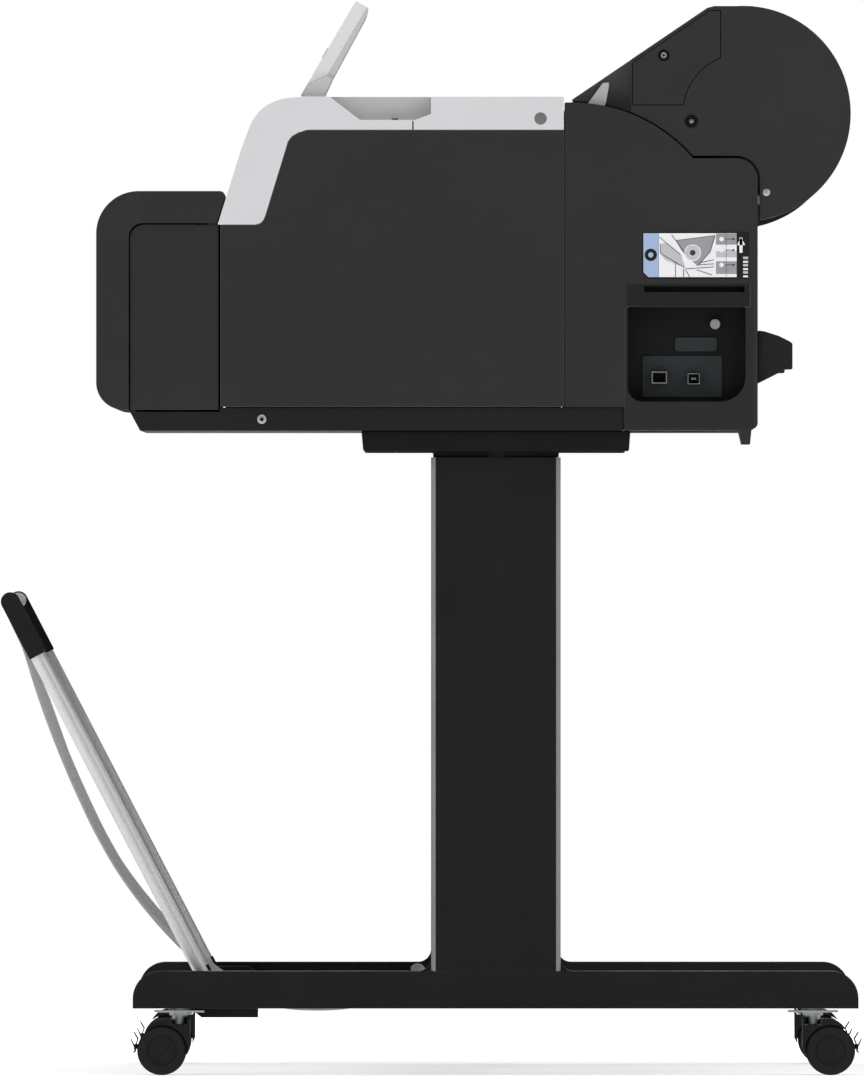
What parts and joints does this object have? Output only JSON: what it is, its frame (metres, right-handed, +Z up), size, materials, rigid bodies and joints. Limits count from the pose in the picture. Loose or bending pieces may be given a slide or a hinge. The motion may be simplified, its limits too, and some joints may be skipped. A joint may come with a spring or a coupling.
{
  "type": "large format plotter",
  "caption": "Floor-standing large format plotter with covered rear roll bay, tilting control panel, hinged ink covers, wheeled column stand and folding cloth basket.",
  "frame": {"origin": "on the floor under the middle of the bounding box", "axes": "+Z up, +Y towards the rear of the machine, +X towards its right-hand side"},
  "size_m": [0.982, 0.8536, 1.0636],
  "materials": {
    "cover_dark": "fine texture, dark grey",
    "cover_light": "fine texture, light grey",
    "base_dark": "fine texture, dark grey",
    "stand_paint": "semi-matte dark paint",
    "steel": "brushed",
    "alloy": "satin",
    "inner_black": "matte black",
    "tank": "gloss",
    "belt": "matte",
    "tyre": "matte",
    "paper": "matte paper",
    "cloth": "woven",
    "screen": "gloss",
    "label": "satin",
    "key": "satin"
  },
  "bodies": {
    "machine": {"base_pan": "base_dark", "side_panel_r": "cover_dark", "side_panel_l": "cover_dark", "rear_cover_r": "cover_dark", "rear_cover_l": "cover_dark", "front_housing_r": "cover_dark", "front_housing_l": "cover_dark", "front_panel": "cover_dark", "upper_trim_r": "cover_light", "upper_trim_l": "cover_light", "rear_panel": "cover_dark", "roll_cheek_r": "cover_dark", "roll_cheek_l": "cover_dark", "cheek_panels": "cover_dark", "side_frames": "steel", "platen": "inner_black", "carriage_rail": "steel", "drive_belt": "belt", "ink_tanks": "tank", "io_board": "inner_black", "data_sockets": "steel", "ac_inlet": "inner_black", "label_plate": "label", "screws": "steel", "rear_grips": "cover_dark", "column_r": "stand_paint", "column_l": "stand_paint", "foot_r": "stand_paint", "foot_l": "stand_paint", "top_brackets": "stand_paint", "cross_beam": "stand_paint", "basket_floor": "cloth", "caster_stems": "steel"},
    "top_cover": {"top_cover": "cover_light"},
    "panel": {"control_panel": "cover_light", "panel_screen": "screen"},
    "power_key": {"power_key": "key"},
    "ink_cover_r": {"ink_cover_r": "cover_dark"},
    "ink_cover_l": {"ink_cover_l": "cover_dark"},
    "roll_cover": {"roll_cover": "cover_dark"},
    "release_lever": {"release_lever": "cover_light"},
    "roll_holder": {"roll_holder": "inner_black", "paper_roll": "paper"},
    "carriage": {"carriage": "inner_black"},
    "feed_roller": {"feed_roller": "steel"},
    "pinch_roller": {"pinch_roller": "belt"},
    "basket_arms": {"basket_arms": "alloy", "basket_sling": "cloth"},
    "fork_fr": {"fork_fr": "stand_paint"},
    "wheels_fr": {"wheels_fr": "tyre"},
    "brake_fr": {"brake_fr": "base_dark"},
    "fork_fl": {"fork_fl": "stand_paint"},
    "wheels_fl": {"wheels_fl": "tyre"},
    "brake_fl": {"brake_fl": "base_dark"},
    "fork_rr": {"fork_rr": "stand_paint"},
    "wheels_rr": {"wheels_rr": "tyre"},
    "brake_rr": {"brake_rr": "base_dark"},
    "fork_rl": {"fork_rl": "stand_paint"},
    "wheels_rl": {"wheels_rl": "tyre"},
    "brake_rl": {"brake_rl": "base_dark"}
  },
  "joints": [
    {"name": "top_cover_hinge", "type": "hinge", "parent": "machine", "child": "top_cover", "pos_m": [0, 0.1075, 0.9465], "axis": [-1, 0, 0], "range_deg": [0, 70]},
    {"name": "panel_tilt", "type": "hinge", "parent": "machine", "child": "panel", "pos_m": [0.41, -0.1148, 0.981], "axis": [-1, 0, 0], "range_deg": [0, 58]},
    {"name": "power_key_press", "type": "slide", "parent": "panel", "child": "power_key", "axis": [0, 0.8643, -0.503], "range_m": [0, 0.0015], "stiffness_N_per_m": 600},
    {"name": "ink_cover_r_hinge", "type": "hinge", "parent": "machine", "child": "ink_cover_r", "pos_m": [0.4, -0.2095, 0.8706], "axis": [-1, 0, 0], "range_deg": [0, 75]},
    {"name": "ink_cover_l_hinge", "type": "hinge", "parent": "machine", "child": "ink_cover_l", "pos_m": [-0.4, -0.2095, 0.8706], "axis": [-1, 0, 0], "range_deg": [0, 75]},
    {"name": "roll_cover_hinge", "type": "hinge", "parent": "machine", "child": "roll_cover", "pos_m": [0, 0.3316, 0.8743], "axis": [-1, 0, 0], "range_deg": [0, 75]},
    {"name": "release_lever_hinge", "type": "hinge", "parent": "machine", "child": "release_lever", "pos_m": [0.475, 0.162, 0.948], "axis": [1, 0, 0], "range_deg": [0, 40]},
    {"name": "roll_spin", "type": "hinge", "parent": "machine", "child": "roll_holder", "pos_m": [0, 0.282, 0.968], "axis": [1, 0, 0], "continuous": true},
    {"name": "carriage_slide", "type": "slide", "parent": "machine", "child": "carriage", "axis": [1, 0, 0], "range_m": [-0.728, 0]},
    {"name": "feed_spin", "type": "hinge", "parent": "machine", "child": "feed_roller", "pos_m": [0, -0.025, 0.85], "axis": [1, 0, 0], "continuous": true},
    {"name": "pinch_spin", "type": "hinge", "parent": "machine", "child": "pinch_roller", "pos_m": [0, -0.025, 0.8681], "axis": [1, 0, 0], "continuous": true},
    {"name": "basket_fold", "type": "hinge", "parent": "machine", "child": "basket_arms", "pos_m": [0, -0.2188, 0.085], "axis": [-1, 0, 0], "range_deg": [0, 30]},
    {"name": "swivel_fr", "type": "hinge", "parent": "machine", "child": "fork_fr", "pos_m": [0.445, -0.2498, 0.04], "axis": [0, 0, 1], "continuous": true},
    {"name": "axle_fr", "type": "hinge", "parent": "fork_fr", "child": "wheels_fr", "pos_m": [0.445, -0.2673, 0.0243], "axis": [1, 0, 0], "continuous": true},
    {"name": "brake_fr_press", "type": "hinge", "parent": "fork_fr", "child": "brake_fr", "pos_m": [0.445, -0.2848, 0.0283], "axis": [1, 0, 0], "range_deg": [0, 8]},
    {"name": "swivel_fl", "type": "hinge", "parent": "machine", "child": "fork_fl", "pos_m": [-0.445, -0.2498, 0.04], "axis": [0, 0, 1], "continuous": true},
    {"name": "axle_fl", "type": "hinge", "parent": "fork_fl", "child": "wheels_fl", "pos_m": [-0.445, -0.2673, 0.0243], "axis": [1, 0, 0], "continuous": true},
    {"name": "brake_fl_press", "type": "hinge", "parent": "fork_fl", "child": "brake_fl", "pos_m": [-0.445, -0.2848, 0.0283], "axis": [1, 0, 0], "range_deg": [0, 8]},
    {"name": "swivel_rr", "type": "hinge", "parent": "machine", "child": "fork_rr", "pos_m": [0.445, 0.3779, 0.04], "axis": [0, 0, 1], "continuous": true},
    {"name": "axle_rr", "type": "hinge", "parent": "fork_rr", "child": "wheels_rr", "pos_m": [0.445, 0.3954, 0.0243], "axis": [1, 0, 0], "continuous": true},
    {"name": "brake_rr_press", "type": "hinge", "parent": "fork_rr", "child": "brake_rr", "pos_m": [0.445, 0.4129, 0.0283], "axis": [-1, 0, 0], "range_deg": [0, 8]},
    {"name": "swivel_rl", "type": "hinge", "parent": "machine", "child": "fork_rl", "pos_m": [-0.445, 0.3779, 0.04], "axis": [0, 0, 1], "continuous": true},
    {"name": "axle_rl", "type": "hinge", "parent": "fork_rl", "child": "wheels_rl", "pos_m": [-0.445, 0.3954, 0.0243], "axis": [1, 0, 0], "continuous": true},
    {"name": "brake_rl_press", "type": "hinge", "parent": "fork_rl", "child": "brake_rl", "pos_m": [-0.445, 0.4129, 0.0283], "axis": [-1, 0, 0], "range_deg": [0, 8]}
  ],
  "couplings": [
    {"joint": "pinch_spin", "follows": "feed_spin", "ratio": -2}
  ]
}
